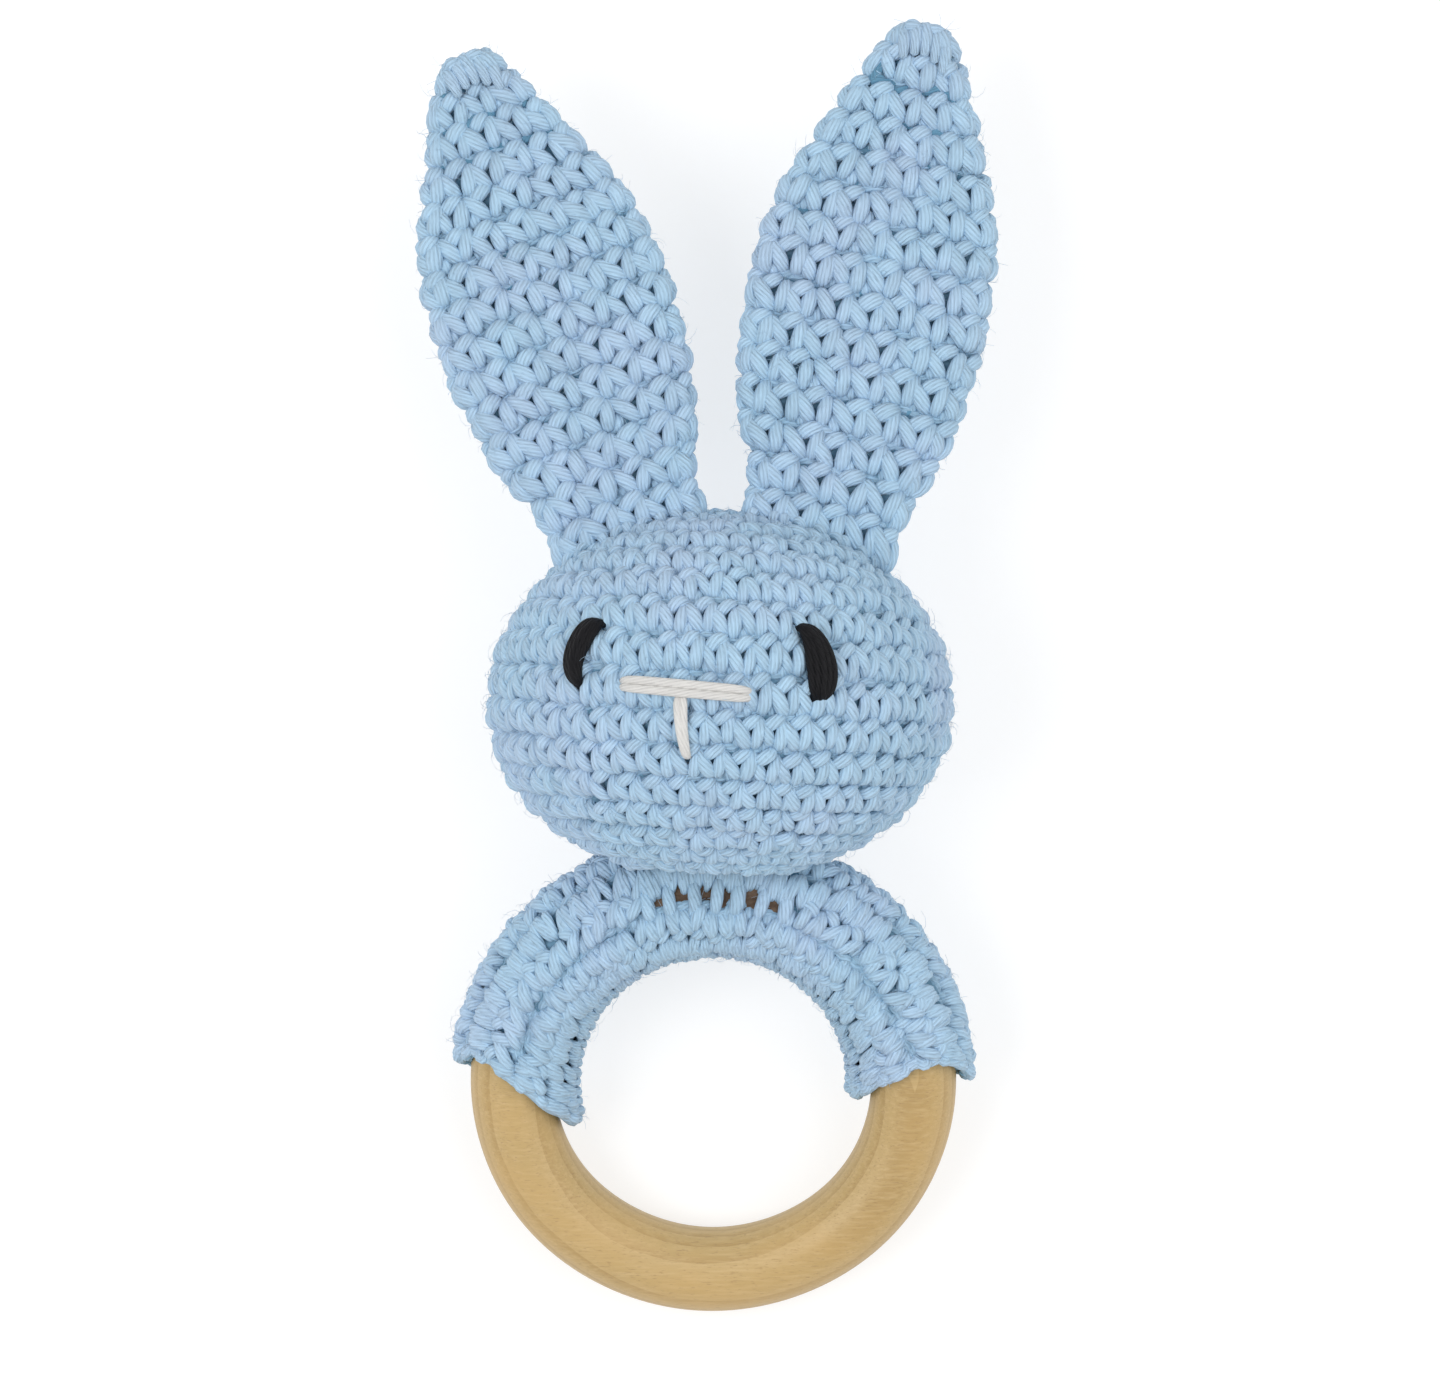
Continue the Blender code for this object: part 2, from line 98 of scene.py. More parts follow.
# The sleeve's other rows: four legs side by side that draw together at the lower edge
FAN = (
    ((0.0, -0.14, -1.6), (0.05, 0.1, -0.1), (0.13, 0.5, 0.35), (0.23, 0.82, 0), (0.32, 1.06, -1.6)),
    ((0.3, -0.18, -1.6), (0.31, 0.1, 0.1), (0.35, 0.5, 0.6), (0.38, 0.84, 0.2), (0.42, 1.12, -1.6)),
    ((0.62, -0.08, -1.6), (0.6, 0.14, 0.1), (0.57, 0.5, 0.5), (0.52, 0.8, 0.2), (0.47, 1.0, -1.6)),
    ((0.9, -0.14, -1.6), (0.86, 0.12, -0.1), (0.78, 0.5, 0.35), (0.67, 0.82, 0), (0.56, 1.06, -1.6)),
)
FAN_YARN = 0.76  # of the sleeve's yarn
LADDER_LEG = (((0.36, -0.35, -1.2), (0.4, 0, 0), (0.48, 0.5, 0.3), (0.58, 1, 0), (0.63, 1.35, -1.2)),)

# Head: an egg with its poles on Y, whose box is the CAD node's
HEAD_ABOVE = 27.5 * MM
HEAD_BELOW = 25.5 * MM
HEAD_HALF_DEPTH = 30.9 * MM
HEAD_STITCH = 3.95 * MM
HEAD_ROW = 4.17 * MM
HEAD_ROWS = 18
CROWN_BACK = radians(18)  # the rows bow because their poles lie towards the back
NECK_BACK = radians(8)
HEAD_TWIST = radians(3.5)  # the rows slope down to the right
NECK_GROOVE = 11.3 * MM  # round the bar's centre line, where the head clears the sleeve

# Ears, along their length from the fold line. The outline is (share of the length, half width in mm).
EAR_OUTLINE = ((0, 11.4), (0.2, 16.0), (0.42, 17.4), (0.62, 15.9), (0.82, 10.2), (1, 3.6))
EAR_LENGTH = {"left": 66.5 * MM, "right": 69 * MM}
EAR_CLEARANCE = 5 * MM
EAR_DROOP = radians(6)
EAR_HALF_DEPTH = 2.5 * MM
EAR_STITCH = 4.7 * MM
EAR_ROWS = 15
EAR_SINK = 1.2 * MM  # into the crown
TIP_LOOPS = (-3.0, -1.5, 0, 1.6, 3.1)  # millimetres across the tip
WHIP_STITCHES = 9  # that sew an ear on
WHIP_WIDTH = 19  # millimetres that they cover
WHIP_PATH = ((1.8, -0.9), (0.9, 0.2), (-0.3, 0.55), (-1.6, 0.2), (-2.6, -0.9))  # up the ear and off it, in mm

# Yarn between the head and the sleeve, round the bar's centre line
NECK_YARN_REACH = 10.5 * MM
NECK_FILL_REACH = 9.6 * MM
NECK_YARN_END = 8.4 * MM  # where it dives into the sleeve
NECK_YARN_ANGLE = radians(39)  # each way from the ring's outward direction

# Sleeve, round the ring's bar
SLEEVE_START, SLEEVE_END = radians(-2.8), radians(186.5)
SLEEVE_START_SLANT, SLEEVE_END_SLANT = radians(3.6), radians(11.1)
SLEEVE_FRONT_PULL = radians(12)
SLEEVE_HALF_WIDTH = 9.1 * MM
SLEEVE_HALF_DEPTH = 8.5 * MM
SLEEVE_SHIFT = -0.2 * MM
SLEEVE_SEAM = radians(180)  # round the bar from its outer side, over the front
SLEEVE_ROWS = 12
SLEEVE_STITCHES = 30
LADDER_STITCHES = 26  # in the ladder's row
FAN_ROWS = (0, 1, 4, 6, 8, 10, 11)
LADDER_ROW = 3  # the row of open cells by the neck
LADDER_HALF_LENGTH = 12.4 * MM
LADDER_CLOSING = 0.13  # rows, by which its neighbours lean over it
LADDER_FADE = 0.25  # of the half length, where they straighten out

random = np.random.default_rng(41)


# ---------------------------------------------------------------- meshes

def unit(vectors):
    return vectors / np.maximum(np.linalg.norm(vectors, axis=-1, keepdims=True), 1e-12)


def catmull_rom(controls, count):
    """count points along a smooth curve through the control points."""
    controls = np.asarray(controls, float)
    ends = np.concatenate([2 * controls[:1] - controls[1:2], controls, 2 * controls[-1:] - controls[-2:-1]])
    places = np.linspace(0, len(controls) - 1, count)
    steps = np.minimum(places.astype(int), len(controls) - 2)
    t = (places - steps)[:, None]
    a, b, c, d = (ends[steps + k] for k in range(4))
    return 0.5 * (2 * b + (c - a) * t + (2 * a - 5 * b + 4 * c - d) * t**2 + (3 * b - a - 3 * c + d) * t**3)


class Parts:
    """Collects tubes and surfaces and makes them into one mesh. tone is random for each strand, and depth
    runs from 0 in the crevices to 1 on top of the yarn; the yarn material paints shade where it is low."""

    def __init__(self):
        self.verts, self.tone, self.depth = [], [], []
        self.faces, self.uvs, self.slots = {3: [], 4: []}, {3: [], 4: []}, {3: [], 4: []}
        self.count = 0

    def add(self, verts, tone, depth, groups):
        """groups holds (faces, uvs, slot) with faces of three or four corners."""
        for faces, uvs, slot in groups:
            corners = faces.shape[1]
            self.faces[corners].append(faces + self.count)
            self.uvs[corners].append(uvs)
            self.slots[corners].append(np.full(len(faces), slot))
        self.verts.append(verts)
        self.tone.append(tone)
        self.depth.append(depth)
        self.count += len(verts)

    def tubes(self, paths, radii, outward, heights, sides=STRAND_SIDES, slot=0):
        """Closed tubes along paths (strand, ring, xyz). outward is the way that their tops face, and heights
        is their centres' height over the surface in yarn radii."""
        strands, rings, _ = paths.shape
        along = np.gradient(paths, axis=1)
        step = np.linalg.norm(along, axis=-1)
        along = unit(along)
        side = unit(np.cross(along, outward))
        up = np.cross(side, along)
        turns = tau * np.arange(sides) / sides - pi / 2
        around = side[:, :, None] * np.cos(turns)[:, None] + up[:, :, None] * (
            STRAND_FLATNESS * np.sin(turns)[:, None]
        )
        body = paths[:, :, None] + around * radii[:, :, None, None]
        caps = np.stack(
            [
                paths[:, 0] - along[:, 0] * radii[:, :1] * 0.6,
                paths[:, -1] + along[:, -1] * radii[:, -1:] * 0.6,
            ],
            axis=1,
        )
        verts = np.concatenate([body.reshape(strands, -1, 3), caps], axis=1)
        # Height over the surface, from 0 in the crevices to 1 on top: the mask for the painted shade in the
        # yarn's crevices.
        top = heights[:, :, None] + np.sin(turns)
        top = np.concatenate([top.reshape(strands, -1), heights[:, [0, -1]]], axis=1)
        depth = np.clip((top + 1.2) / 2.2, 0, 1)
        tone = np.repeat(random.normal(0, 1, strands), verts.shape[1])

        ring, point = np.meshgrid(np.arange(rings - 1), np.arange(sides), indexing="ij")
        following = (point + 1) % sides
        quads = np.stack(
            [ring * sides + point, (ring + 1) * sides + point, (ring + 1) * sides + following,
             ring * sides + following], axis=-1,
        ).reshape(-1, 4)
        point = np.arange(sides)
        following = (point + 1) % sides
        first, last = rings * sides, rings * sides + 1
        final_ring = (rings - 1) * sides
        starts = np.stack([np.full(sides, first), point, following], axis=-1)
        finishes = np.stack([np.full(sides, last), final_ring + following, final_ring + point], axis=-1)
        tris = np.concatenate([starts, finishes])
        bases = (np.arange(strands) * verts.shape[1])[:, None, None]

        # The map's unit is the millimetre, so that the twist has one size on every strand.
        girth = tau * radii.mean(axis=1) / MM
        distance = np.cumsum(step, axis=1) / MM + random.uniform(0, 500, (strands, 1))
        across = np.stack([point, point, point + 1, point + 1], axis=-1) / sides
        u = np.broadcast_to(across[None, None], (strands, rings - 1, sides, 4)) * girth[:, None, None, None]
        v = np.stack([distance[:, :-1], distance[:, 1:], distance[:, 1:], distance[:, :-1]], axis=-1)
        v = np.broadcast_to(v[:, :, None], u.shape)
        quad_uvs = np.stack([u, v], axis=-1).reshape(-1, 4, 2)
        cap_u = np.stack([point, point, point + 1], axis=-1) / sides
        cap_u = np.broadcast_to(np.concatenate([cap_u, cap_u])[None], (strands, 2 * sides, 3))
        cap_v = np.repeat(distance[:, [0, -1]], sides, axis=1)[:, :, None] + np.zeros(3)
        tri_uvs = np.stack([cap_u * girth[:, None, None], cap_v], axis=-1).reshape(-1, 3, 2)
        self.add(
            verts.reshape(-1, 3), tone, depth.reshape(-1),
            [((quads[None] + bases).reshape(-1, 4), quad_uvs, slot),
             ((tris[None] + bases).reshape(-1, 3), tri_uvs, slot)],
        )

    def surface(self, points, slot, closed=False, keep=None):
        """A sheet of faces over a grid of points. closed joins its last column to its first."""
        rows, columns, _ = points.shape
        row, column = np.meshgrid(np.arange(rows - 1), np.arange(columns - (not closed)), indexing="ij")
        following = (column + 1) % columns
        quads = np.stack(
            [row * columns + column, (row + 1) * columns + column, (row + 1) * columns + following,
             row * columns + following], axis=-1,
        ).reshape(-1, 4)
        if keep is not None:
            quads = quads[keep.reshape(-1)]
        flat = points.reshape(-1, 3)
        uvs = flat[quads][:, :, :2] / MM
        self.add(flat, np.zeros(len(flat)), np.full(len(flat), 0.0), [(quads, uvs, slot)])

    def make(self, name, materials, slot):
        mesh = bpy.data.meshes.new(name)
        verts = np.concatenate(self.verts)
        mesh.vertices.add(len(verts))
        mesh.vertices.foreach_set("co", verts.astype(np.float32).ravel())
        kinds = [corners for corners in (4, 3) if self.faces[corners]]
        faces = {corners: np.concatenate(self.faces[corners]) for corners in kinds}
        loops = np.concatenate([faces[corners].ravel() for corners in kinds])
        sizes = np.concatenate([np.full(len(faces[corners]), corners) for corners in kinds])
        mesh.loops.add(len(loops))
        mesh.loops.foreach_set("vertex_index", loops.astype(np.int32))
        mesh.polygons.add(len(sizes))
        mesh.polygons.foreach_set("loop_start", (np.cumsum(sizes) - sizes).astype(np.int32))
        slots = np.concatenate([np.concatenate(self.slots[corners]) for corners in kinds])
        mesh.polygons.foreach_set("material_index", slots.astype(np.int32))
        mesh.update(calc_edges=True)
        uvs = np.concatenate([np.concatenate(self.uvs[corners]).reshape(-1, 2) for corners in kinds])
        mesh.uv_layers.new(name="Yarn").data.foreach_set("uv", uvs.astype(np.float32).ravel())
        for label, values in (("tone", self.tone), ("depth", self.depth)):
            attribute = mesh.attributes.new(label, "FLOAT", "POINT")
            attribute.data.foreach_set("value", np.concatenate(values).astype(np.float32))
        mesh.shade_smooth()
        for material in materials:
            mesh.materials.append(material)
        made = bpy.data.objects.new(name, mesh)
        bpy.context.scene.collection.objects.link(made)
        return made


def strand_radii(strands, rings, radius):
    """Yarn swells in the middle of a stitch and is pulled thin where it dives."""
    place = np.linspace(0, 1, rings)
    profile = 0.56 + 0.5 * np.sin(pi * place) ** 0.7
    return np.broadcast_to(np.reshape(radius, (-1, 1)) * profile, (strands, rings)).copy()


# ---------------------------------------------------------------- materials

class Nodes:
    """A node material and short ways of adding to it."""

    def __init__(self, name):
        self.material = bpy.data.materials.new(name)
        self.material.use_nodes = True
        self.tree = self.material.node_tree
        self.shader = self.tree.nodes["Principled BSDF"]

    def add(self, kind, inputs=None, **settings):
        node = self.tree.nodes.new("ShaderNode" + kind)
        for key, value in settings.items():
            setattr(node, key, value)
        for key, value in (inputs or {}).items():
            self.set(node, key, value)
        return node

    def set(self, node, key, value):
        """value is a constant, or the socket to link from."""
        if isinstance(value, bpy.types.NodeSocket):
            self.tree.links.new(value, node.inputs[key])
        else:
            node.inputs[key].default_value = value

    def math(self, operation, one, other=0.0):
        return self.add("Math", {0: one, 1: other}, operation=operation).outputs[0]

    def mix(self, factor, one, other, blend="MIX"):
        node = self.add("Mix", data_type="RGBA", blend_type=blend)
        self.set(node, 0, factor)
        self.set(node, 6, one if isinstance(one, bpy.types.NodeSocket) else (*one, 1))
        self.set(node, 7, other if isinstance(other, bpy.types.NodeSocket) else (*other, 1))
        return node.outputs[2]

    def spread(self, value, low, high, new_low=0.0, new_high=1.0):
        """value from low to high, moved to new_low to new_high and held there."""
        node = self.add("MapRange", {0: value, 1: low, 2: high, 3: new_low, 4: new_high})
        return node.outputs[0]

    def noise(self, vector, scale, detail=2.0):
        node = self.add("TexNoise", {"Vector": vector, "Scale": scale, "Detail": detail})
        return node.outputs[0]

    def mapped(self, vector, scale=(1, 1, 1), turn=(0, 0, 0), shift=(0, 0, 0)):
        inputs = {"Vector": vector, "Location": shift, "Rotation": turn, "Scale": scale}
        return self.add("Mapping", inputs).outputs[0]

    def bump(self, height, distance, strength, before=None):
        inputs = {"Height": height, "Distance": distance, "Strength": strength}
        if before is not None:
            inputs["Normal"] = before
        return self.add("Bump", inputs).outputs[0]

    def finish(self, colour, roughness, normal, **constants):
        self.set(self.shader, "Base Color", colour)
        self.set(self.shader, "Roughness", roughness)
        self.set(self.shader, "Normal", normal)
        for key, value in constants.items():
            self.shader.inputs[key.replace("_", " ")].default_value = value
        return self.material


def yarn_material(
    name, light, deep, tint, roughness=0.85, sheen=0.2, contrast=1.0, specular=0.5, ply_depth=0.17 * MM
):
    """Twisted cotton yarn: plies that wind round the strand, fine fibres, and painted shade in the crevices
    and along the plies' grooves.
    """
    nodes = Nodes(name)
    strand = nodes.add("UVMap", uv_map="Yarn").outputs[0]
    place = nodes.add("TexCoord").outputs["Object"]
    twisted = nodes.mapped(strand, turn=(0, 0, radians(20)))
    uneven = nodes.noise(nodes.mapped(twisted, scale=(0.5, 0.2, 1)), 1.0)
    plies = nodes.add(
        "TexWave", {"Vector": twisted, "Scale": 0.55, "Distortion": 2.4, "Detail": 2.0, "Detail Scale": 0.6},
    ).outputs[1]
    plies = nodes.math("POWER", plies, 0.6)
    fibres = nodes.noise(nodes.mapped(twisted, scale=(9, 0.9, 1)), 1.0, 3.0)
    tone = nodes.add("Attribute", attribute_name="tone").outputs["Fac"]
    depth = nodes.add("Attribute", attribute_name="depth").outputs["Fac"]
    cloud = nodes.noise(place, 70.0)
    colour = nodes.mix(nodes.spread(cloud, 0.42, 0.66, 0, 0.5), light, tint)
    shade = nodes.spread(tone, -2, 2, 1 - 0.05 * contrast, 1 + 0.05 * contrast)
    # Painted shade in the grooves between the plies, and a faint painted highlight on their crests.
    lines = nodes.spread(plies, 0, 0.8, 1 - 0.08 * contrast, 1.02)
    threads = nodes.spread(fibres, 0.3, 0.7, 1 - 0.13 * contrast, 1 + 0.09 * contrast)
    swell = nodes.spread(uneven, 0.3, 0.7, 0.96, 1.03)
    # The strand's random tone times the painted ply shade and highlight, and the fibres' and the strand's
    # random tone.
    broad = nodes.math("MULTIPLY", shade, lines)
    fine = nodes.math("MULTIPLY", threads, swell)
    factor = nodes.math("MULTIPLY", broad, fine)
    grey = nodes.add("CombineColor", {0: factor, 1: factor, 2: factor}).outputs[0]
    colour = nodes.mix(1.0, colour, grey, "MULTIPLY")
    # Painted shade: where depth is low, in the crevices, the colour turns to deep.
    colour = nodes.mix(nodes.spread(depth, 0.05, 0.7), deep, colour)
    relief = nodes.bump(plies, ply_depth, 0.8)
    relief = nodes.bump(fibres, 0.12 * MM, 0.8, relief)
    return nodes.finish(
        colour, roughness, relief, Sheen_Weight=sheen, Sheen_Roughness=0.45, Specular_IOR_Level=specular
    )


def shadow_lining_material(name, low, high):
    """A sheet in painted shade at the bottom of the gaps between stitches: the yarn there, or the wood seen
    through the sleeve's open cells, coloured as they look in shadow.
    """
    nodes = Nodes(name)
    place = nodes.add("TexCoord").outputs["Object"]
    strands = nodes.noise(nodes.mapped(place, scale=(1, 1.6, 1)), 900.0, 3.0)
    colour = nodes.mix(nodes.spread(strands, 0.35, 0.7), low, high)
    relief = nodes.bump(strands, 0.4 * MM, 0.8)
    return nodes.finish(colour, 0.95, relief, Sheen_Weight=0.1)


def wood_material(tilt):
    """Flat-sawn pale wood. Its growth layers lie nearly in the ring's plane, so they follow the bar."""
    nodes = Nodes("pale_beech")
    place = nodes.add("TexCoord").outputs["Object"]
    level = nodes.mapped(place, scale=(1000, 1000, 1000), turn=(-tilt, 0, 0))
    wander = nodes.noise(nodes.mapped(level, scale=(0.02, 0.035, 0.05)), 1.0, 3.0)
    parts = nodes.add("SeparateXYZ", {0: level}).outputs
    lean = nodes.math("ADD", nodes.math("MULTIPLY", parts[0], 0.012), nodes.math("MULTIPLY", parts[1], 0.02))
    layer = nodes.math("ADD", nodes.math("ADD", parts[2], lean), nodes.math("MULTIPLY", wander, 1.5))
    layer = nodes.math("FRACT", nodes.math("MULTIPLY", layer, 0.62))
    late = nodes.spread(layer, 0.55, 1.0)
    early = nodes.spread(layer, 0.0, 0.9)
    streaks = nodes.noise(nodes.mapped(level, scale=(0.22, 2.4, 2.4)), 1.0, 4.0)
    pores = nodes.noise(nodes.mapped(level, scale=(0.9, 5.5, 5.5)), 1.0, 2.0)
    patches = nodes.noise(nodes.mapped(level, scale=(0.06, 0.09, 0.09)), 1.0, 2.0)
    colour = nodes.mix(early, (0.535, 0.375, 0.165), (0.50, 0.34, 0.135))
    colour = nodes.mix(nodes.math("MULTIPLY", late, 0.4), colour, (0.36, 0.225, 0.08))
    colour = nodes.mix(nodes.spread(streaks, 0.45, 0.75, 0, 0.4), colour, (0.70, 0.52, 0.28))
    colour = nodes.mix(nodes.spread(pores, 0.58, 0.7, 0, 0.5), colour, (0.33, 0.20, 0.08))
    colour = nodes.mix(nodes.spread(patches, 0.45, 0.7, 0, 0.35), colour, (0.60, 0.39, 0.15))
    relief = nodes.bump(nodes.math("SUBTRACT", streaks, nodes.spread(pores, 0.6, 0.75)), 0.06 * MM, 0.5)
    roughness = nodes.spread(streaks, 0.3, 0.7, 0.42, 0.56)
    return nodes.finish(colour, roughness, relief, Coat_Weight=0.08, Coat_Roughness=0.3)


def speckled_material(name, light, dark, scale, roughness, relief_depth):
    """Plain stuff with a fine uneven surface, for the parts inside the head."""
    nodes = Nodes(name)
    place = nodes.add("TexCoord").outputs["Object"]
    grain = nodes.noise(place, scale, 4.0)
    colour = nodes.mix(nodes.spread(grain, 0.35, 0.65), dark, light)
    relief = nodes.bump(grain, relief_depth, 0.5)
    return nodes.finish(colour, nodes.spread(grain, 0.3, 0.7, roughness - 0.05, roughness + 0.05), relief)


# deep is the painted shade that each yarn's colour turns to in its crevices.
blue_yarn = yarn_material(
    "blue_cotton", light=(0.425, 0.625, 0.80), deep=(0.13, 0.30, 0.44), tint=(0.48, 0.605, 0.805)
)
# Sheets of painted shade in the gaps: the blue yarn in shadow, and the wood in shadow behind the sleeve's
# open cells.
blue_shadow_lining = shadow_lining_material("blue_shadow", (0.09, 0.20, 0.30), (0.20, 0.36, 0.49))
wood_shadow_lining = shadow_lining_material("sleeve_shadow", (0.09, 0.055, 0.035), (0.18, 0.12, 0.08))
black_yarn = yarn_material(
    "black_floss", light=(0.006, 0.006, 0.008), deep=(0.002, 0.002, 0.003), tint=(0.009, 0.009, 0.011),
    roughness=0.6, sheen=0.0, contrast=2.5, specular=0.2,
)
cream_yarn = yarn_material(
    "cream_cotton", light=(0.70, 0.69, 0.67), deep=(0.52, 0.50, 0.47), tint=(0.74, 0.73, 0.71),
    roughness=0.8, sheen=0.1, contrast=0.4, ply_depth=0.12 * MM,
)


# ---------------------------------------------------------------- stitches

def stitch_paths(kinds):
    """The stitch's strands as smooth paths: an array (strand, ring, 3)."""
    return np.stack([catmull_rom(kind, STRAND_RINGS) for kind in kinds])


def lay_row(parts, place, count, row, radius, kinds=STITCH, columns=None, mirrored=False, unevenness=0.05,
             deepest=-2.0):
    """Lays one row of stitches. place turns stitch units (u, v) into points and normals, and radius is the
    yarn's radius or a function of the points. deepest is the lowest height that a strand's end may have."""
    templates = stitch_paths(kinds)
    columns = np.arange(count) if columns is None else columns
    strands = np.tile(templates, (len(columns), 1, 1))
    owner = np.repeat(np.arange(len(columns)), len(kinds))
    u, v, height = strands[:, :, 0], strands[:, :, 1], strands[:, :, 2]
    if mirrored:
        v = 1 - v
    shift = random.normal(0, unevenness, (len(columns), 2))[owner]
    lean = random.normal(0, unevenness, (len(strands), 1)) * (v - 0.5)
    u = u + columns[owner][:, None] + shift[:, :1] + 2 * lean
    u = u + random.normal(0, unevenness / 2, (len(strands), 1))
    v = v + row + shift[:, 1:]
    v = v + random.normal(0, unevenness / 2, (len(strands), 1))
    height = np.maximum(height + random.normal(0, HEIGHT_UNEVENNESS, (len(strands), 1)), deepest)
    points, normals = place(u, v)
    size = radius(points[:, STRAND_RINGS // 2]) if callable(radius) else np.full(len(strands), radius)
    size = size * (1 + random.normal(0, SIZE_UNEVENNESS, len(strands)))
    centres = points + normals * ((height - 1) * size[:, None])[:, :, None]
    parts.tubes(centres, strand_radii(len(strands), STRAND_RINGS, size), normals, height)


def add_fuzz(parts, points, normals):
    """Loose fibres that stand off the yarn, one at each point, leaning every way and rooted in the lining."""
    count = len(points)
    steps = np.linspace(0, 1, FUZZ_RINGS)[None, :, None]
    sideways = unit(np.cross(normals, random.normal(0, 1, (count, 3))))[:, None]
    bend = unit(np.cross(normals, random.normal(0, 1, (count, 3))))[:, None]
    length = random.uniform(0.4, 1, (count, 1, 1)) * FUZZ_LENGTH
    rise = random.uniform(0.15, 0.7, (count, 1, 1))
    paths = points[:, None] + length * (
        sideways * steps + normals[:, None] * rise * np.sin(steps * pi * 0.6) + bend * 0.4 * steps**2
    )
    paths[:, 0] -= normals * FUZZ_ROOT
    paths[..., 2] = np.maximum(paths[..., 2], FUZZ_RADIUS)
    radii = FUZZ_RADIUS * np.linspace(1, 0.5, FUZZ_RINGS)[None] * random.uniform(0.7, 1.2, (count, 1))
    facing = np.repeat(normals[:, None], FUZZ_RINGS, axis=1)
    parts.tubes(paths, radii, facing, np.ones((count, FUZZ_RINGS)), sides=3)


# ---------------------------------------------------------------- head

head_low, head_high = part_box("head_shell")
head_centre = np.array(
    [(head_low.x + head_high.x) / 2, head_high.y - HEAD_ABOVE, head_high.z - HEAD_HALF_DEPTH]
)
head_half_width = (head_high.x - head_low.x) / 2
neck_pivot = np.array(joints["neck_tilt"]["pos_m"])


def clear_neck(points, room):
    """Keeps points of the head out of the sleeve's groove, which runs along X."""
    offset = points - neck_pivot
    distance = np.hypot(offset[..., 1], offset[..., 2])
    push = np.maximum(room / np.maximum(distance, MM / 10), 1)
    cleared = points.copy()
    cleared[..., 1] = neck_pivot[1] + offset[..., 1] * push
    cleared[..., 2] = neck_pivot[2] + offset[..., 2] * push
    cleared[..., 2] = np.maximum(cleared[..., 2], 0.9 * MM)
    return cleared


def egg(direction):
    """The head's surface and its normal in a direction from its centre."""
    half_height = np.where(direction[..., 1] > 0, HEAD_ABOVE, HEAD_BELOW)
    halves = np.stack(
        [np.full_like(half_height, head_half_width), half_height, np.full_like(half_height, HEAD_HALF_DEPTH)],
        axis=-1,
    )
    offset = direction / np.linalg.norm(direction / halves, axis=-1, keepdims=True)
    return head_centre + offset, unit(offset / halves**2)


def head_point(around, down):
    """around is the angle from the front towards +X, and down the angle from the crown's pole."""
    x, y, z = np.sin(down) * np.sin(around), np.cos(down), np.sin(down) * np.cos(around)
    bend = np.where(y > 0, CROWN_BACK, NECK_BACK) * y
    y, z = y * np.cos(bend) + z * np.sin(bend), z * np.cos(bend) - y * np.sin(bend)
    x, y = x * cos(HEAD_TWIST) + y * sin(HEAD_TWIST), y * cos(HEAD_TWIST) - x * sin(HEAD_TWIST)
    points, normals = egg(np.stack([x, y, z], axis=-1))
    return clear_neck(points, NECK_GROOVE + HEAD_YARN), normals


def make_head():
    row_angle = HEAD_ROW / ((HEAD_ABOVE + HEAD_BELOW) / 4 + HEAD_HALF_DEPTH / 2)
    sectors = {"front": Parts(), "right": Parts(), "left": Parts()}
    for row in range(HEAD_ROWS):
        down = row_angle * (row + 0.6)
        girth = tau * np.sin(down) * (head_half_width + HEAD_HALF_DEPTH) / 2
        count = max(6, round(girth / HEAD_STITCH))
        offset = ROW_SHIFT * row + random.uniform(-0.06, 0.06)

        def place(u, v):
            around = tau * (u + offset) / count
            lean = -0.12 * np.sin(around) * (v - row)
            return head_point(around + tau * lean / count, row_angle * np.maximum(v + 0.1, 0.02))

        columns = np.arange(count)
        # Thirds of the way round, the first of them centred on the front
        sector = np.floor(((columns + offset + 0.5) / count + 1 / 6) % 1 * 3)
        for number, parts in enumerate(sectors.values()):
            lay_row(parts, place, count, row, HEAD_YARN, columns=columns[sector == number])
    # A lining under the stitches, coloured with painted shade, closes the gaps between them.
    lining_end = row_angle * (HEAD_ROWS + 0.8)
    down, around = np.meshgrid(
        np.linspace(0.01, lining_end, 40), np.linspace(0, tau, 72, endpoint=False), indexing="ij"
    )
    points, normals = head_point(around, down)
    sectors["left"].surface(points - normals * LINING_DEPTH * HEAD_YARN, 1, closed=True)
    for number, (side, parts) in enumerate(sectors.items()):
        around = (number - 0.5 + random.uniform(0, 1, HEAD_FIBRES)) * tau / 3
        add_fuzz(parts, *head_point(around, np.arccos(random.uniform(-0.85, 1, HEAD_FIBRES))))
        knit = parts.make(f"head_knit_{side}", [blue_yarn, blue_shadow_lining], "blue_yarn")
        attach(knit, "head")
        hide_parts("head_shell")


# ---------------------------------------------------------------- ears

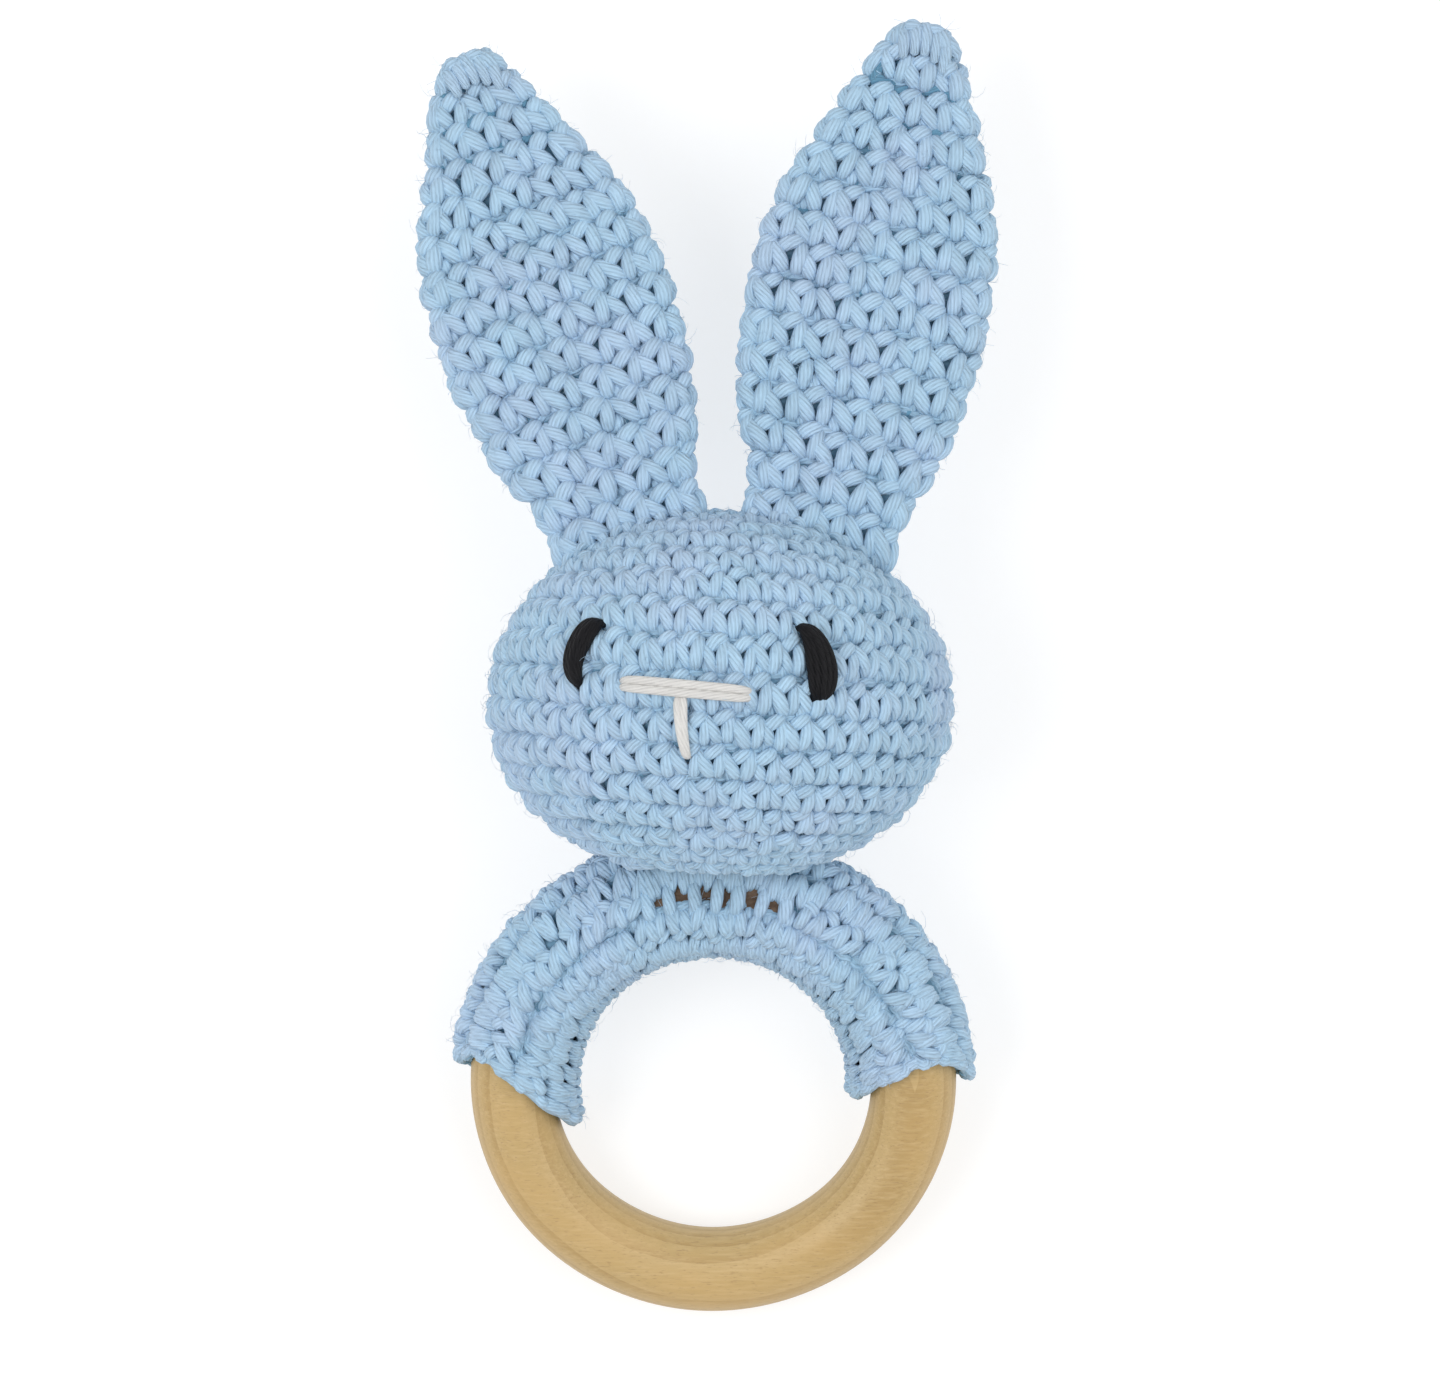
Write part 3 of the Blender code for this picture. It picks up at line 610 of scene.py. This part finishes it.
def make_ear(side):
    joint = joints[f"{side}_ear_fold"]
    fold = np.array(joint["pos_m"])
    across = unit(np.array(joint["axis"], float))
    flat = np.array([-across[1], across[0], 0])
    along = flat * cos(EAR_DROOP) - np.array([0, 0, sin(EAR_DROOP)])
    front = np.cross(across, along)
    length = EAR_LENGTH[side]
    tip = length + 1.4 * MM
    row_height = (tip + EAR_CLEARANCE + EAR_SINK) / EAR_ROWS
    outline = catmull_rom([(share * length, width * MM) for share, width in EAR_OUTLINE], 60)

    def half_width(reach):
        width = np.interp(reach, outline[:, 0], outline[:, 1])
        width = width + 0.9 * MM * np.exp(-(((reach - length) / (9 * MM)) ** 2))
        rounding = np.clip((reach - length * 0.95) / (tip + MM - length * 0.95), 0, 1)
        return np.maximum(width * np.sqrt(1 - rounding**2 * 0.75), 2.4 * MM)

    def drop_to_head(x):
        """How far below its edge the ear's foot meets the crown."""
        halves = np.array([head_half_width, HEAD_ABOVE, HEAD_HALF_DEPTH])
        foot = (fold - along * EAR_CLEARANCE + across * x[..., None] - head_centre) / halves
        way = -along / halves
        square, half_sum = way @ way, foot @ way
        inside = half_sum**2 - square * ((foot**2).sum(axis=-1) - 1)
        return np.clip((-half_sum - np.sqrt(np.maximum(inside, 0))) / square, -1 * MM, 7 * MM)

    def ear_point(share, reach):
        """share runs once round the ear from the middle of its front, and reach is from the fold line."""
        wide = half_width(reach)
        deep = np.minimum(EAR_HALF_DEPTH * (1 - 0.3 * np.clip(reach / length, 0, 1) ** 4), wide)
        flat_part = 2 * (wide - deep)
        girth = 2 * flat_part + tau * deep
        run = (share % 1) * girth
        first = flat_part / 2
        turn = pi * deep
        on_right = (run - first) / deep
        on_back = run - first - turn
        on_left = (run - first - turn - flat_part) / deep
        sections = [
            run < first, run < first + turn, run < first + turn + flat_part,
            run < first + 2 * turn + flat_part,
        ]
        x = np.select(
            sections,
            [run, first + deep * np.sin(on_right), first - on_back, -first - deep * np.sin(on_left)],
            run - girth,
        )
        tilt = np.select(
            sections, [np.zeros_like(run), on_right, np.full_like(run, pi), pi + on_left], 0.0
        )
        ripple = 0.5 * MM * np.sin(reach / (11 * MM) + x / (14 * MM)) * np.clip(reach / (15 * MM), 0, 1)
        height = deep * np.cos(tilt) + ripple
        settle = np.exp(-np.maximum(reach + EAR_CLEARANCE, 0) / (8 * MM)) * drop_to_head(x)
        points = (
            fold + along * (reach - settle)[..., None] + across * x[..., None] + front * height[..., None]
        )
        normals = across * np.sin(tilt)[..., None] + front * np.cos(tilt)[..., None]
        return points, normals

    parts = Parts()
    for row in range(EAR_ROWS):
        middle = tip - row_height * (row + 0.5)
        wide = float(half_width(np.array(middle)))
        girth = 4 * max(wide - EAR_HALF_DEPTH, 0) + tau * min(EAR_HALF_DEPTH, wide)
        count = max(4, round(girth / EAR_STITCH))
        offset = ROW_SHIFT * row + random.uniform(-0.06, 0.06)

        def place(u, v):
            return ear_point((u + offset) / count, tip - row_height * np.maximum(v, 0.2))

        lay_row(parts, place, count, row, EAR_YARN, unevenness=0.055, deepest=-1.0)
    # Loops over the tip, from its back to its front
    over = np.linspace(-1, 1, STRAND_RINGS)[None]
    x = np.array(TIP_LOOPS)[:, None] * MM + 0.5 * MM * over
    reach = tip - (0.7 + 4.2 * over**2) * MM - x**2 / (6.5 * MM)
    height = EAR_HALF_DEPTH * 0.8 * np.sin(over * pi / 2) + 0 * x
    loops = fold + along * reach[..., None] + across * x[..., None] + front * height[..., None]
    quarter = over[..., None] * pi / 2
    facing = unit(along * np.cos(quarter) + front * np.sin(quarter) + 0 * loops)
    parts.tubes(loops, strand_radii(len(x), STRAND_RINGS, EAR_YARN), facing, np.zeros_like(reach))
    # A lining under the stitches, coloured with painted shade, closes the gaps between them.
    lining_start, lining_end = tip - 4 * MM, -EAR_CLEARANCE - EAR_SINK
    reach, share = np.meshgrid(
        np.linspace(lining_start, lining_end, 40), np.linspace(0, 1, 36, endpoint=False), indexing="ij"
    )
    points, normals = ear_point(share, reach)
    parts.surface(points - normals * LINING_DEPTH * EAR_YARN, 1, closed=True)
    share = random.uniform(0, 1, EAR_FIBRES)
    add_fuzz(parts, *ear_point(share, random.uniform(2 * MM, tip, EAR_FIBRES)))
    knit = parts.make(f"{side}_ear_knit", [blue_yarn, blue_shadow_lining], "blue_yarn")
    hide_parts(f"{side}_ear")
    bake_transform(knit)
    make_ear_stitching(side, fold, along, across)


def make_ear_stitching(side, fold, along, across):
    """Short uneven whip stitches over the ear's lower edge."""
    parts = Parts()
    paths, outward = [], []
    for i in range(WHIP_STITCHES):
        reach = (-WHIP_WIDTH / 2 + WHIP_WIDTH * i / (WHIP_STITCHES - 1)) * MM + random.normal(0, 0.4 * MM)
        slant = random.uniform(-0.3, 0.5)
        path, facing = [], []
        for up, lift in WHIP_PATH:
            spot = fold - along * (EAR_CLEARANCE - up * MM) + across * (reach + up * slant * MM)
            surface, normal = egg(spot - head_centre + np.array([0, 0, 2.2 * MM]))
            path.append(surface + normal * lift * MM)
            facing.append(normal)
        paths.append(catmull_rom(path, STRAND_RINGS))
        outward.append(catmull_rom(facing, STRAND_RINGS))
    paths, outward = np.array(paths), unit(np.array(outward))
    radii = strand_radii(WHIP_STITCHES, STRAND_RINGS, np.full(WHIP_STITCHES, 0.85 * MM))
    parts.tubes(paths, radii, outward, np.zeros((WHIP_STITCHES, STRAND_RINGS)))
    stitching = parts.make(f"{side}_ear_stitching", [blue_yarn], "blue_yarn")
    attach(stitching, "head")
    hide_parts(f"{side}_ear_seam")


# ---------------------------------------------------------------- ring and sleeve

ring_centre = np.array(joints["ring_turn"]["pos_m"])
ring_normal = unit(np.array(joints["ring_turn"]["axis"]))
ring_right = np.array([1.0, 0, 0])
ring_up = np.cross(ring_normal, ring_right)
ring_tilt = float(np.arcsin(ring_up[2]))
ring_low, ring_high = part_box("wooden_ring")
outer_radius = (ring_high.x - ring_low.x) / 2
half_rise = (ring_high.z - ring_low.z) / 2
ring_radius = (outer_radius - half_rise) / (1 - sin(ring_tilt))
bar_radius = outer_radius - ring_radius


def ring_point(angle, outward, height):
    radius = ring_radius + outward
    return (
        ring_centre
        + ring_right * (radius * np.cos(angle))[..., None]
        + ring_up * (radius * np.sin(angle))[..., None]
        + ring_normal * np.asarray(height)[..., None]
    )


def sleeve_point(place, turn, lift=0.0):
    """place runs 0 to 1 along the sleeve, and turn round the bar from its outer side over the front."""
    inwardness = -np.cos(turn)
    pull = SLEEVE_FRONT_PULL * np.maximum(np.sin(turn), 0)
    start = SLEEVE_START - SLEEVE_START_SLANT * inwardness + pull
    end = SLEEVE_END + SLEEVE_END_SLANT * inwardness - pull
    angle = start + (end - start) * place
    out = SLEEVE_SHIFT + (SLEEVE_HALF_WIDTH + lift) * np.cos(turn)
    points = ring_point(angle, out, (SLEEVE_HALF_DEPTH + lift) * np.sin(turn))
    tilt = np.stack([np.cos(turn) / SLEEVE_HALF_WIDTH, np.sin(turn) / SLEEVE_HALF_DEPTH], axis=-1)
    tilt = unit(tilt)
    spoke = ring_right * np.cos(angle)[..., None] + ring_up * np.sin(angle)[..., None]
    return points, spoke * tilt[..., :1] + ring_normal * tilt[..., 1:]


def sleeve_yarn(points):
    """The yarn's radius: it is squeezed thin where the sleeve crowds round the hole."""
    offset = points - ring_centre
    reach = np.linalg.norm(offset - (offset @ ring_normal)[..., None] * ring_normal, axis=-1)
    return SLEEVE_YARN * np.clip((reach / ring_radius) ** 0.5, 0.74, 1.05)


def make_sleeve():
    halves = {"left": Parts(), "right": Parts()}
    ladder_share = LADDER_HALF_LENGTH / (ring_radius * (SLEEVE_END - SLEEVE_START))

    def close_ladder(place, v):
        """Draws the rows on either side of the ladder together."""
        near = np.clip(1 + LADDER_FADE - np.abs(place - 0.5) / ladder_share, 0, LADDER_FADE) / LADDER_FADE
        away = v - (LADDER_ROW + 0.5)
        return v - LADDER_CLOSING * near * np.tanh(away / 0.3) * np.exp(-(away**2) / 1.5)

    for row in range(SLEEVE_ROWS):
        offset = 0.5 * (row % 2) + random.uniform(-0.1, 0.1)
        count = LADDER_STITCHES if row == LADDER_ROW else SLEEVE_STITCHES

        def place(u, v):
            along = np.clip((u + offset) / (count + 0.4), 0.004, 0.996)
            turn = SLEEVE_SEAM - tau * close_ladder(along, v) / SLEEVE_ROWS
            return sleeve_point(along, turn)

        columns = np.arange(count)
        share = (columns + offset + 0.5) / (count + 0.4)
        in_ladder = (row == LADDER_ROW) & (np.abs(share - 0.5) < ladder_share)
        fans = row in FAN_ROWS
        yarn_share = FAN_YARN if fans else 1

        def radius(points):
            return sleeve_yarn(points) * yarn_share

        for side, chosen in (("right", share < 0.5), ("left", share >= 0.5)):
            lay_row(
                halves[side], place, count, row, radius, kinds=FAN if fans else STITCH,
                columns=columns[chosen & ~in_ladder], mirrored=row % 2 == 1, unevenness=0.11,
            )
            if (chosen & in_ladder).any():
                lay_row(
                    halves[side], place, count, row, sleeve_yarn, kinds=LADDER_LEG,
                    columns=columns[chosen & in_ladder],
                )
    add_sleeve_rims(halves)
    # A lining under the stitches in painted shade; in the ladder's open cells it takes the wood's colour in
    # painted shadow.
    along, turn = np.meshgrid(
        np.linspace(0.004, 0.996, 60), np.linspace(0, tau, 32, endpoint=False), indexing="ij"
    )
    points, normals = sleeve_point(along, turn, -LINING_DEPTH * MM)
    cell_share = (along[:-1] + along[1:]) / 2
    cell_row = ((SLEEVE_SEAM - turn[:-1] - pi / 32) % tau) / tau * SLEEVE_ROWS
    in_ladder = (np.abs(cell_share - 0.5) < ladder_share) & (np.abs(cell_row - LADDER_ROW - 0.5) < 0.5)
    halves["left"].surface(points, 1, closed=True, keep=~in_ladder)
    halves["left"].surface(points, 2, closed=True, keep=in_ladder)
    for side, parts in halves.items():
        share = random.uniform(0.01, 0.5, SLEEVE_FIBRES)
        share = share if side == "right" else 1 - share
        add_fuzz(parts, *sleeve_point(share, random.uniform(0, tau, SLEEVE_FIBRES)))
        knit = parts.make(f"sleeve_knit_{side}", [blue_yarn, blue_shadow_lining, wood_shadow_lining], "blue_yarn")
        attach(knit, "sleeve")
        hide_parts("ring_sleeve")


def add_sleeve_rims(halves):
    """A strand round each end of the sleeve, and loops over it."""
    rings = 60
    for side, end in (("right", 0.0), ("left", 1.0)):
        inside = 1 if end == 0 else -1
        turn = np.linspace(0, tau, rings)[None]
        place = np.full_like(turn, end + inside * 0.008) + 0.0025 * np.sin(9 * turn)
        points, normals = sleeve_point(place, turn, -1.3 * MM)
        radii = np.full((1, rings), 0.95 * MM)
        halves[side].tubes(points, radii, normals, np.full((1, rings), -0.1))
        count = 16
        start = tau * np.arange(count)[:, None] / count
        swing = np.linspace(0, 1, STRAND_RINGS)[None]
        place = end + inside * (0.004 + 0.022 * (2 * swing - 1) ** 2) + 0 * start
        points, normals = sleeve_point(place, start + 0.3 * swing, 0.0)
        sink = (-2.1 + 1.5 * np.sin(pi * swing)) * MM + 0 * start
        points = points + normals * sink[..., None]
        halves[side].tubes(
            points, strand_radii(count, STRAND_RINGS, np.full(count, 0.8 * MM)), normals,
            np.full((count, STRAND_RINGS), 0.0),
        )


def make_sleeve_stitching():
    """The whip stitches that close the sleeve round the hole."""
    count = 46
    place = np.linspace(0.02, 0.98, count)[:, None]
    swing = np.linspace(-1, 1, STRAND_RINGS)[None]
    turn = radians(184) + radians(19) * swing + random.normal(0, 0.03, (count, 1))
    place = place + 0.006 * swing + random.normal(0, 0.0015, (count, 1))
    points, normals = sleeve_point(place, turn, 0.0)
    lift = (0.95 * (1 - swing**2) - 0.75) * MM + 0 * turn
    parts = Parts()
    radii = strand_radii(count, STRAND_RINGS, 0.62 * MM * (1 + random.normal(0, 0.08, count)))
    parts.tubes(points + normals * lift[..., None], radii, normals, np.zeros((count, STRAND_RINGS)))
    stitching = parts.make("sleeve_stitching", [blue_yarn], "blue_yarn")
    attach(stitching, "sleeve")
    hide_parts("sleeve_seam")


def make_ring():
    """The turned ring, with the slight unevenness of hand sanding."""
    angle, turn = np.meshgrid(
        np.linspace(0, tau, 160, endpoint=False), np.linspace(0, tau, 56, endpoint=False), indexing="ij"
    )
    uneven = 0.05 * MM * np.sin(3 * angle + 1) * np.cos(2 * turn) + 0.03 * MM * np.sin(7 * angle + turn)
    radius = bar_radius - 0.06 * MM + uneven
    points = ring_point(angle, radius * np.cos(turn), radius * np.sin(turn))
    points = np.concatenate([points, points[:1]])
    parts = Parts()
    parts.surface(points, 0, closed=True)
    ring = parts.make("turned_ring", [wood_material(ring_tilt)], "wood")
    merge_doubles(ring)
    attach(ring, "ring")
    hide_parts("wooden_ring")


def merge_doubles(made):
    bm = bmesh.new()
    bm.from_mesh(made.data)
    bmesh.ops.remove_doubles(bm, verts=bm.verts, dist=MM / 1000)
    bmesh.ops.recalc_face_normals(bm, faces=bm.faces)
    bm.to_mesh(made.data)
    bm.free()


def make_neck_stitching():
    """Yarn wound between the head and the sleeve. Its ends are sewn into the sleeve, and more yarn fills the
    space below its middle."""
    rings = 24
    swing = np.linspace(-1, 1, rings)[None]
    outer = np.linspace(-11.5, 11.5, 17)[:, None] * MM
    inner = np.linspace(-4.5, 4.5, 7)[:, None] * MM
    side = np.cross(ring_right, ring_up)
    parts = Parts()
    for across, middle_radius in ((outer, NECK_YARN_REACH), (inner, NECK_FILL_REACH)):
        angle = NECK_YARN_ANGLE * swing * np.sqrt(1 - (across / (15 * MM)) ** 2)
        dive = np.abs(swing) ** 5 * (middle_radius - NECK_YARN_END)
        out = ring_up * np.cos(angle)[..., None] + side * np.sin(angle)[..., None]
        sideways = across + 0.8 * MM * swing + random.normal(0, 0.15 * MM, across.shape)
        along = ring_right * sideways[..., None]
        points = neck_pivot + out * (middle_radius - dive)[..., None] + along
        parts.tubes(points, np.full(angle.shape, 0.55 * MM), out, np.zeros(angle.shape))
    stitching = parts.make("neck_stitching", [blue_yarn], "blue_yarn")
    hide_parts("neck_seam")
    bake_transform(stitching)


# ---------------------------------------------------------------- face

def face_path(places, count, lift):
    """A path over the front of the head through places (x, y) in millimetres."""
    flat = catmull_rom(places, count) * MM
    across, up = flat[:, 0] - head_centre[0], flat[:, 1] - head_centre[1]
    half_height = np.where(up > 0, HEAD_ABOVE, HEAD_BELOW)
    out = HEAD_HALF_DEPTH * np.sqrt(1 - (across / head_half_width) ** 2 - (up / half_height) ** 2)
    points, normals = egg(np.stack([across, up, out], axis=-1))
    return points + normals * np.asarray(lift).reshape(-1, 1), normals


def embroider(name, material, slot, node, lines, radius, rings=22):
    """One embroidered piece from several strands. lines are (places, shift, rise): shift moves a strand
    sideways as a function of its place, and rise lifts it."""
    parts = Parts()
    for places, shift, rise in lines:
        along = np.linspace(0, 1, rings)
        dive = 1.5 * MM * (np.abs(2 * along - 1) ** 8)
        points, normals = face_path(places, rings, rise - dive)
        direction = unit(np.gradient(points, axis=0))
        points = points + np.cross(normals, direction) * shift(along)[:, None]
        radii = radius * (0.8 + 0.2 * np.sin(pi * along) ** 0.4)
        parts.tubes(points[None], radii[None], normals[None], np.full((1, rings), 0.2), sides=14)
    made = parts.make(name, [material], slot)
    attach(made, "head")
    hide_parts(node)


def make_eye(side, places, widths):
    """Satin stitch: strands side by side that bow outwards and meet at both ends."""
    count = 5
    lines = []
    for i in range(count):
        rank = 2 * i / (count - 1) - 1

        def shift(along, rank=rank):
            swell = np.sin(pi * np.clip(along, 0.04, 0.96)) ** 0.42
            return rank * (widths[0] + (widths[1] - widths[0]) * along) * swell * MM

        lines.append((places, shift, (1.15 - 0.35 * abs(rank)) * MM))
    embroider(f"{side}_eye_floss", black_yarn, "black_yarn", f"{side}_eye", lines, 0.62 * MM)


def make_face():
    make_eye("left", ((-16.6, 9.6), (-18.7, 7.2), (-20.0, 3.9), (-19.7, 0.6)), (1.6, 0.95))
    make_eye("right", ((11.2, 9.0), (13.0, 6.2), (13.9, 2.6), (13.8, -1.5)), (0.95, 2.25))

    def still(offset):
        return lambda along: np.full_like(along, offset * MM)

    nose = ((-13.8, 0.9), (-4.7, 0.1), (4.4, -0.7))
    for place, offset in (("upper", 0.6), ("lower", -0.6)):
        lines = [(nose, still(offset), 1.0 * MM)]
        embroider(
            f"nose_{place}", cream_yarn, "cream_yarn", f"nose_strand_{place}", lines, 0.66 * MM, 30
        )
    mouth = ((-5.4, -0.6), (-5.2, -5.0), (-4.5, -9.4))
    lines = [
        (mouth, lambda along, side=side: side * (0.5 - 0.4 * along) * MM, 0.95 * MM) for side in (-1, 1)
    ]
    embroider("mouth", cream_yarn, "cream_yarn", "mouth_strand", lines, 0.6 * MM)


# ---------------------------------------------------------------- inside the head

def finish_inside():
    filling = speckled_material("fibre_filling", (0.88, 0.88, 0.86), (0.7, 0.7, 0.68), 900, 0.95, 0.6 * MM)
    shell = speckled_material("capsule_shell", (0.82, 0.82, 0.80), (0.76, 0.76, 0.73), 2500, 0.4, 0.02 * MM)
    pellet = speckled_material("pellet_shell", (0.72, 0.36, 0.20), (0.6, 0.27, 0.14), 3000, 0.45, 0.02 * MM)
    looks = {"head_stuffing": filling, "rattle_case_front": shell, "rattle_case_back": shell}
    looks.update({f"rattle_pellet_{i}": pellet for i in (1, 2, 3)})
    for node, material in looks.items():
        for material_slot in frame["nodes"][node].material_slots:
            material_slot.material = material


# ---------------------------------------------------------------- studio

def make_camera():
    """Straight above the toy, so that it fills the view from ears to ring."""
    lens, sensor, view_width, plane = 150, 36, 207.8 * MM, 25 * MM
    camera = bpy.data.objects.new("camera", bpy.data.cameras.new("camera"))
    bpy.context.scene.collection.objects.link(camera)
    camera.data.lens = lens
    camera.data.sensor_width = sensor
    camera.data.clip_start = 0.01
    camera.location = (0, 0, plane + view_width * lens / sensor)
    bpy.context.scene.camera = camera


def make_studio():
    half = 3.0
    corners = [(-half, -half, 0), (half, -half, 0), (half, half, 0), (-half, half, 0)]
    mesh = bpy.data.meshes.new("floor")
    mesh.from_pydata(corners, [], [(0, 1, 2, 3)])
    nodes = Nodes("studio_floor")
    place = nodes.add("TexCoord").outputs["Object"]
    paper = nodes.noise(place, 300.0)
    colour = nodes.mix(paper, (0.415, 0.415, 0.415), (0.425, 0.425, 0.425))
    nodes.finish(colour, 0.9, nodes.bump(paper, 0.02 * MM, 0.1), Emission_Strength=0.63)
    nodes.shader.inputs["Emission Color"].default_value = (1, 1, 1, 1)
    mesh.materials.append(nodes.material)
    floor = bpy.data.objects.new("floor", mesh)
    bpy.context.scene.collection.objects.link(floor)

    world = bpy.data.worlds.new("studio")
    bpy.context.scene.world = world
    world.use_nodes = True
    backdrop = world.node_tree.nodes["Background"]
    backdrop.inputs["Color"].default_value = (1, 1, 1, 1)
    backdrop.inputs["Strength"].default_value = 0.56

    for name, place, size, power in (
        ("key_light", (-0.5, -0.05, 0.85), 0.5, 3.7),
        ("fill_light", (0.6, 0.1, 0.95), 1.0, 4.7),
    ):
        light = bpy.data.lights.new(name, "AREA")
        light.size = size
        light.energy = power
        lamp = bpy.data.objects.new(name, light)
        lamp.location = place
        lamp.rotation_mode = "QUATERNION"
        lamp.rotation_quaternion = (-Vector(place)).to_track_quat("-Z", "Y")
        bpy.context.scene.collection.objects.link(lamp)
    bpy.context.scene.view_settings.view_transform = "Standard"


make_camera()
make_studio()
make_ring()
make_sleeve()
make_sleeve_stitching()
make_neck_stitching()
make_head()
make_ear("left")
make_ear("right")
make_face()
finish_inside()
